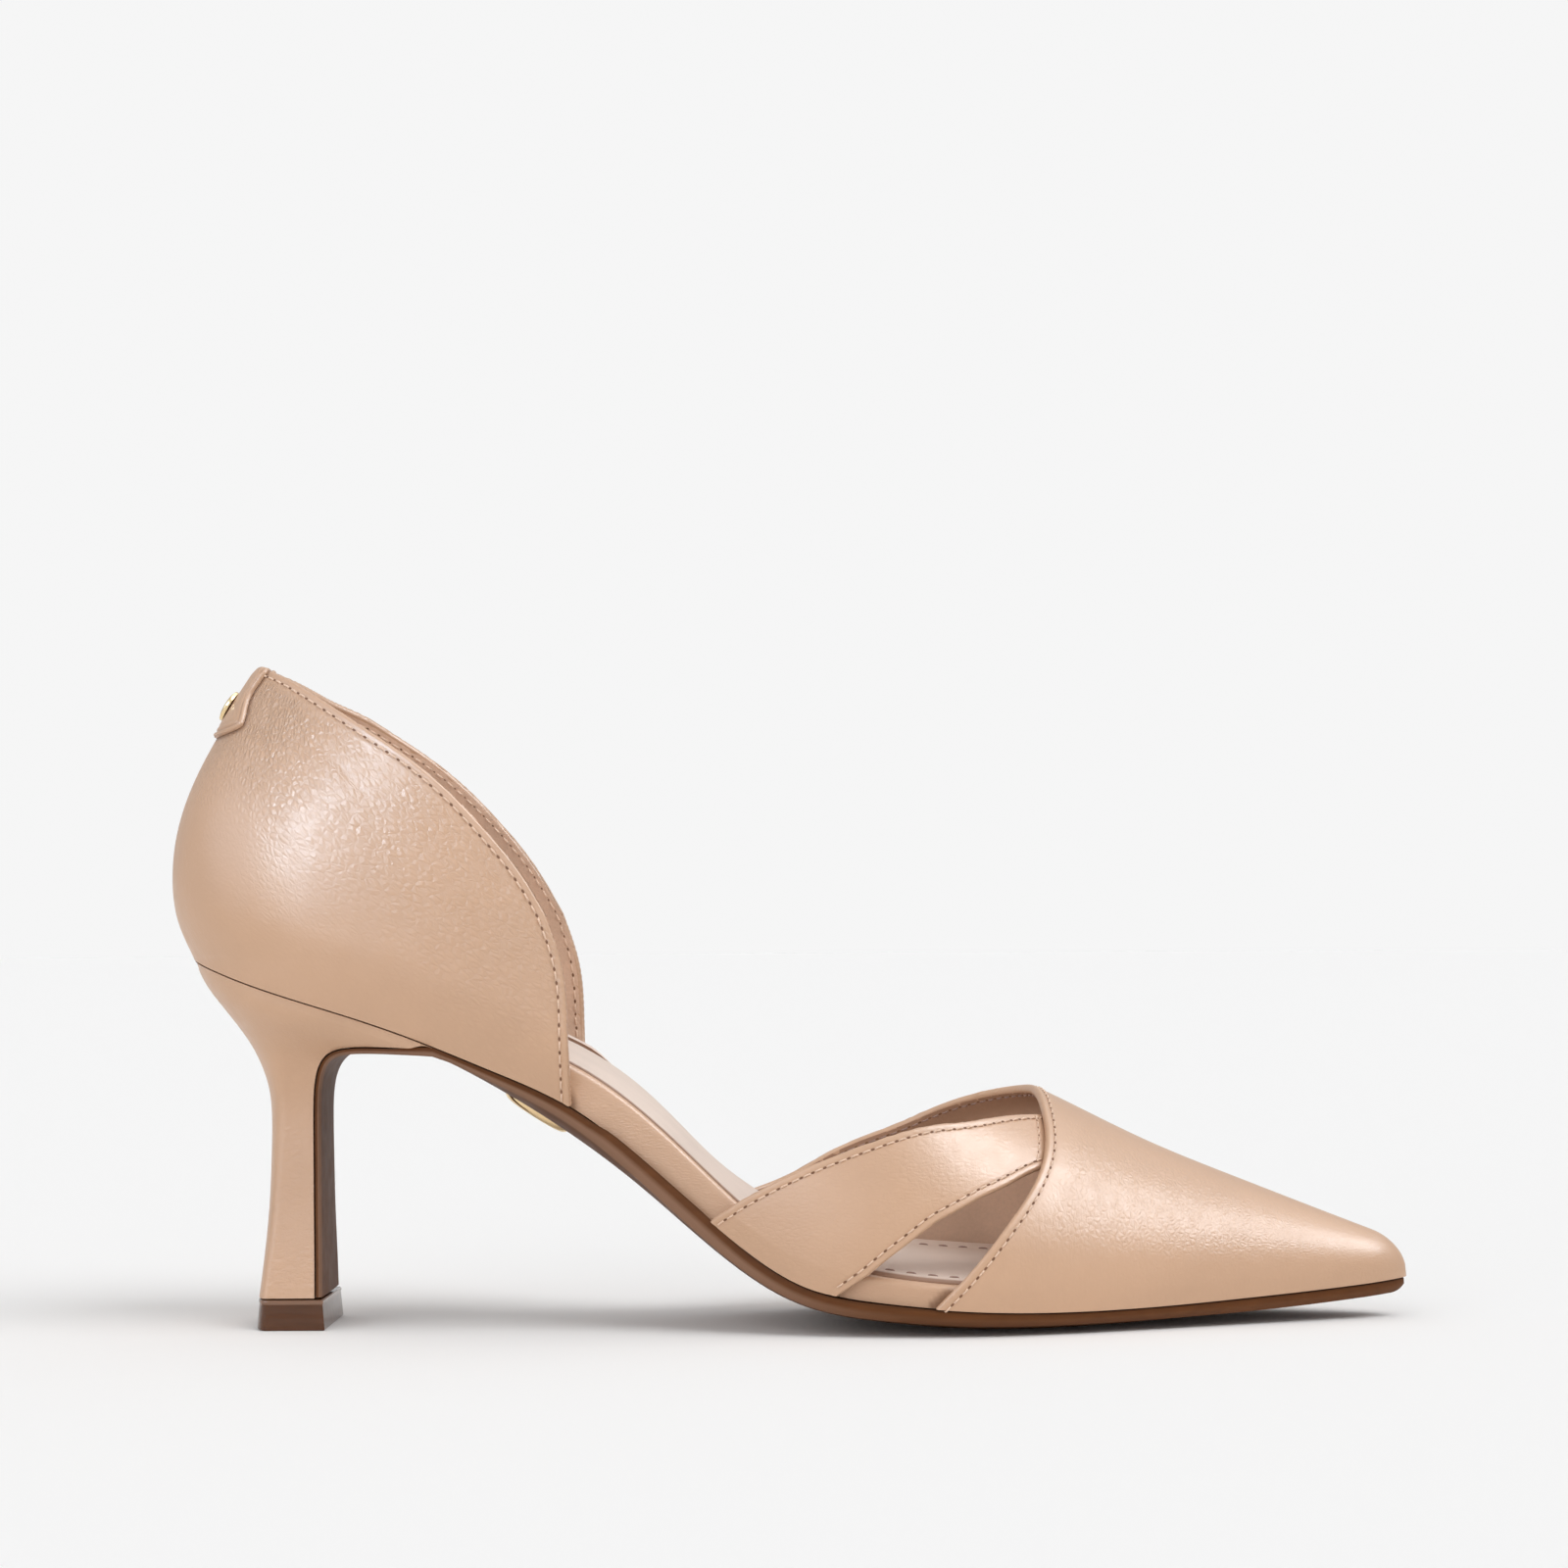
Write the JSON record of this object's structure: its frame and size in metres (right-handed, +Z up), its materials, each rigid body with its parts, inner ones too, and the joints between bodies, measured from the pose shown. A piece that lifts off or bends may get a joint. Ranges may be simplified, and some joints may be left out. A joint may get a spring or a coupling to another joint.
{
  "type": "pump shoe",
  "caption": "Pointed high-heeled pump with an open waist, a vamp crossed by an instep strap on the outer side, a closed heel cup and a slim flared heel.",
  "frame": {"origin": "middle of the shoe's box on the floor that it stands on", "axes": "+X towards the toe, +Y towards the inner side of the foot, +Z up"},
  "size_m": [0.2486, 0.0744, 0.1324],
  "materials": {
    "upper_leather": "nude smooth-grain leather, soft satin gloss",
    "lining_leather": "suede-like lining, matte",
    "sock_leather": "pale padded sock, matte",
    "sole_brown": "brown sole, satin",
    "heel_tip": "brown heel tip, satin",
    "gold_metal": "pale gold, polished",
    "thread": "twisted sewing thread"
  },
  "bodies": {
    "root": {"outsole": "sole_brown", "top_piece": "heel_tip", "heel": "upper_leather", "insole_board": "upper_leather", "insole_sock": "sock_leather", "vamp": "upper_leather", "instep_strap": "upper_leather", "quarter": "upper_leather", "heel_tab": "upper_leather", "heel_stud": "gold_metal", "waist_plate": "gold_metal"}
  },
  "joints": []
}
